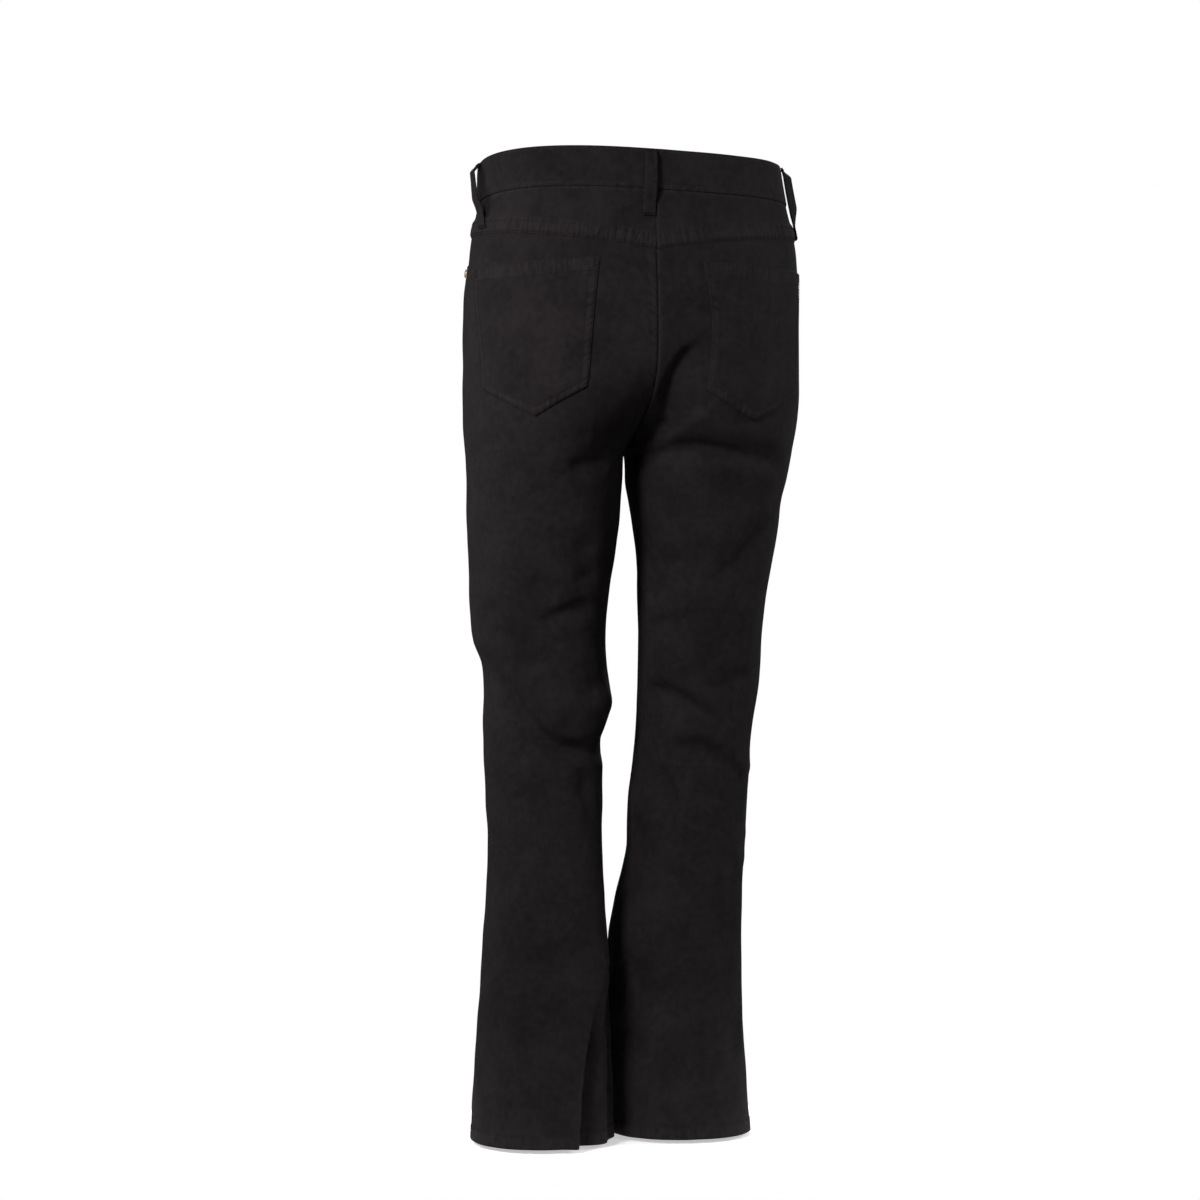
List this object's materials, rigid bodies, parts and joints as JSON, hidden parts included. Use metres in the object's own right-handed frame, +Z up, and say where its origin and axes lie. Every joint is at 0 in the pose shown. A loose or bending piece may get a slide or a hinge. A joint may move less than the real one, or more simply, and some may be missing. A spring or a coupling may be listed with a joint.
{
  "type": "jeans",
  "caption": "Worn bootcut jeans in black stretch denim, low rise, with yoke, back patch pockets, belt loops and a closed fly.",
  "frame": {"origin": "middle of the waist opening, at half the height of the waistband where it crosses the side seams", "axes": "+Z up the body, -Y the wearer's front, +X the wearer's left leg"},
  "size_m": [0.3377, 0.2355, 0.9761],
  "materials": {
    "black_denim": "soft black stretch denim twill, slightly brown, matt with a faint sheen",
    "aged_brass": "aged brass button and rivets, dull with brighter edges"
  },
  "bodies": {
    "root": {"back_panel_left": "black_denim", "back_panel_right": "black_denim", "front_panel_left": "black_denim", "front_panel_right": "black_denim", "yoke_left": "black_denim", "yoke_right": "black_denim", "waistband": "black_denim", "belt_loop_centre_back": "black_denim", "belt_loop_side_left": "black_denim", "belt_loop_side_right": "black_denim", "belt_loop_front_left": "black_denim", "belt_loop_front_right": "black_denim", "back_pocket_left": "black_denim", "back_pocket_right": "black_denim", "pocket_facing_left": "black_denim", "pocket_facing_right": "black_denim", "fly": "black_denim", "button": "aged_brass", "rivet_left_side": "aged_brass", "rivet_left_top": "aged_brass", "rivet_right_side": "aged_brass", "rivet_right_top": "aged_brass"}
  },
  "joints": []
}
